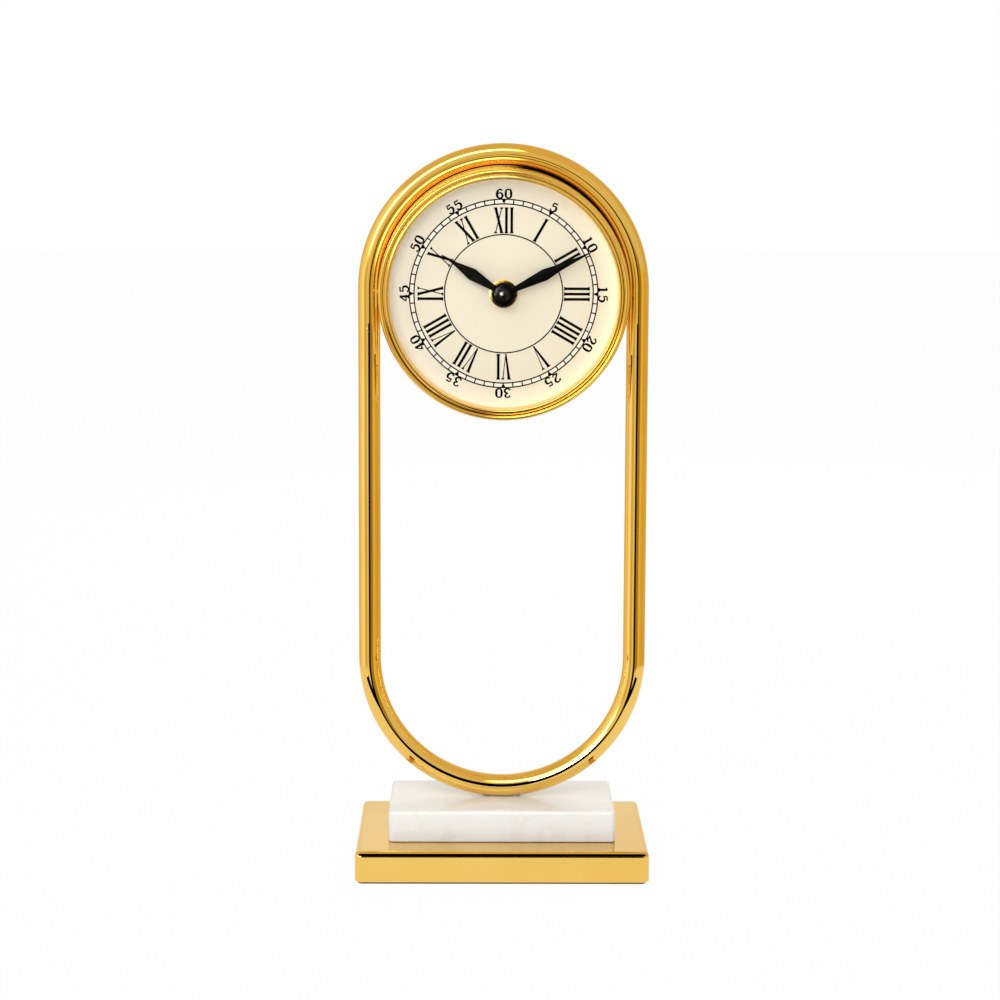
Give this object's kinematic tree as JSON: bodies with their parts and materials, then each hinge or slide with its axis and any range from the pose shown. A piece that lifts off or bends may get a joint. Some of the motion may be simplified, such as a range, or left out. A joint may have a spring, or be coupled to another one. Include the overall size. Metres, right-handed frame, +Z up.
{
  "type": "mantel clock",
  "caption": "Free-standing mantel clock: a round Roman-numeral dial with hour and minute hands, held in an upright polished oval hoop on a marble block and a flat metal base.",
  "frame": {"origin": "middle of the underside of the base", "axes": "+Z up, dial facing -Y, +X to the right as seen from the front"},
  "size_m": [0.1524, 0.1016, 0.38],
  "materials": {
    "polished_gold": "mirror-polished gold-coloured plating",
    "marble": "polished white marble with faint warm veins",
    "cream_dial": "matt cream enamel",
    "black_enamel": "satin black",
    "black_gloss": "gloss black",
    "black_plastic": "fine moulded grain",
    "white_plastic": "natural acetal",
    "clear_glass": "clear flat mineral glass",
    "black_rubber": "matt",
    "felt": "short black pile",
    "steel": "bright zinc plate",
    "copper_wire": "lacquered copper wire",
    "board_green": "solder resist",
    "battery_jacket": "plain printed jacket",
    "magnet_grey": "sintered"
  },
  "bodies": {
    "clock_body": {"base_felt": "felt", "base_plate": "polished_gold", "marble_block": "marble", "marble_dowels": "steel", "hoop_tube": "polished_gold", "hoop_insert": "steel", "hoop_studs": "steel", "stud_washers": "steel", "stud_nuts": "steel", "drum_case": "polished_gold", "bezel_ring": "polished_gold", "glass_lens": "clear_glass", "lens_gasket": "black_rubber", "reflector_ring": "polished_gold", "dial_plate": "cream_dial", "case_spacers": "polished_gold", "case_screws": "steel", "back_cover": "black_plastic", "back_cover_screws": "steel", "dial_washer": "polished_gold", "bushing_nut": "polished_gold", "movement_front_case": "black_plastic", "movement_back_case": "black_plastic", "movement_bushing": "polished_gold", "train_plate": "white_plastic", "stator_plate": "steel", "coil_core": "steel", "coil_bobbin": "white_plastic", "coil_winding": "copper_wire", "circuit_board": "board_green", "quartz_crystal": "steel", "timing_chip": "black_gloss", "battery": "battery_jacket", "positive_contact": "steel", "negative_contact": "steel"},
    "minute_work": {"minute_hand": "black_enamel", "hand_cap": "black_gloss", "minute_cannon": "white_plastic"},
    "hour_work": {"hour_hand": "black_enamel", "hour_wheel": "white_plastic"},
    "setting_work": {"motion_wheel": "white_plastic", "set_knob": "black_plastic"},
    "centre_wheel_body": {"centre_wheel": "white_plastic"},
    "third_wheel_body": {"third_wheel": "white_plastic"},
    "second_wheel_body": {"second_wheel": "white_plastic"},
    "intermediate_wheel_body": {"intermediate_wheel": "white_plastic"},
    "rotor_body": {"rotor_arbor": "white_plastic", "rotor_magnet": "magnet_grey"},
    "battery_door_body": {"battery_door": "black_plastic"}
  },
  "joints": [
    {"name": "minute_hand_turn", "type": "hinge", "parent": "clock_body", "child": "minute_work", "pos_m": [0, 0, 0.30225], "axis": [0, 1, 0], "continuous": true},
    {"name": "hour_hand_turn", "type": "hinge", "parent": "clock_body", "child": "hour_work", "pos_m": [0, 0, 0.30225], "axis": [0, 1, 0], "continuous": true},
    {"name": "set_knob_turn", "type": "hinge", "parent": "clock_body", "child": "setting_work", "pos_m": [0.0108, 0, 0.30225], "axis": [0, 1, 0], "continuous": true},
    {"name": "rotor_turn", "type": "hinge", "parent": "clock_body", "child": "rotor_body", "pos_m": [0.00614, 0, 0.31795], "axis": [0, 1, 0], "continuous": true},
    {"name": "intermediate_wheel_turn", "type": "hinge", "parent": "clock_body", "child": "intermediate_wheel_body", "pos_m": [0.00254, 0, 0.31172], "axis": [0, 1, 0], "continuous": true},
    {"name": "second_wheel_turn", "type": "hinge", "parent": "clock_body", "child": "second_wheel_body", "pos_m": [0, 0, 0.30225], "axis": [0, 1, 0], "continuous": true},
    {"name": "third_wheel_turn", "type": "hinge", "parent": "clock_body", "child": "third_wheel_body", "pos_m": [-0.00883, 0, 0.30735], "axis": [0, 1, 0], "continuous": true},
    {"name": "centre_wheel_turn", "type": "hinge", "parent": "clock_body", "child": "centre_wheel_body", "pos_m": [0, 0, 0.30225], "axis": [0, 1, 0], "continuous": true},
    {"name": "battery_door_slide", "type": "slide", "parent": "clock_body", "child": "battery_door_body", "axis": [0, 0, -1], "range_m": [0, 0.02]}
  ],
  "couplings": [
    {"joint": "hour_hand_turn", "follows": "minute_hand_turn", "ratio": 0.083333},
    {"joint": "set_knob_turn", "follows": "minute_hand_turn", "ratio": -0.33333},
    {"joint": "intermediate_wheel_turn", "follows": "rotor_turn", "ratio": -0.2},
    {"joint": "second_wheel_turn", "follows": "rotor_turn", "ratio": 0.033333},
    {"joint": "third_wheel_turn", "follows": "rotor_turn", "ratio": -0.0041667},
    {"joint": "centre_wheel_turn", "follows": "rotor_turn", "ratio": 0.00055556}
  ]
}
